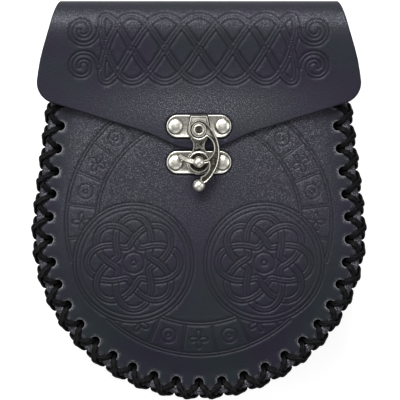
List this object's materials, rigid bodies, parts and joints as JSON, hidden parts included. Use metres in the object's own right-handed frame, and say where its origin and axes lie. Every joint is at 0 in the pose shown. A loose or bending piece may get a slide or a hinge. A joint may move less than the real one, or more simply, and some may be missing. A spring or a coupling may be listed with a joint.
{
  "type": "waist bag",
  "caption": "Small leather waist bag with a round laced bottom, a folded flap, a swinging hook clasp and belt loops on its back.",
  "frame": {"origin": "middle of the bounding box's lowest face, under the belt loops", "axes": "+X to the wearer's left, seen on the right in the picture; +Y from the round bottom to the folded top; +Z out of the front"},
  "size_m": [0.1678, 0.1996, 0.0645],
  "materials": {
    "leather": "blue-black, fine grain, half matt",
    "cord": "black waxed braid",
    "clasp_metal": "antique silver casting with dark recesses",
    "rivet_metal": "dark nickel"
  },
  "bodies": {
    "bag": {"front_panel": "leather", "back_and_flap": "leather", "gusset": "leather", "belt_loop_left": "leather", "belt_loop_right": "leather", "front_lacing": "cord", "back_lacing": "cord", "clasp_upper_plate": "clasp_metal", "clasp_lower_plate": "clasp_metal", "clasp_pivot": "clasp_metal", "clasp_upper_rivet_1": "clasp_metal", "clasp_upper_rivet_2": "clasp_metal", "clasp_lower_rivet_1": "clasp_metal", "clasp_lower_rivet_2": "clasp_metal", "belt_loop_rivet_1": "rivet_metal", "belt_loop_rivet_2": "rivet_metal", "belt_loop_rivet_3": "rivet_metal", "belt_loop_rivet_4": "rivet_metal"},
    "clasp_hook": {"clasp_hook": "clasp_metal"}
  },
  "joints": [
    {"name": "clasp_swing", "type": "hinge", "parent": "bag", "child": "clasp_hook", "pos_m": [-0.00002, 0.03482, 0.05975], "axis": [0, 0, 1], "range_deg": [0, 100]}
  ]
}
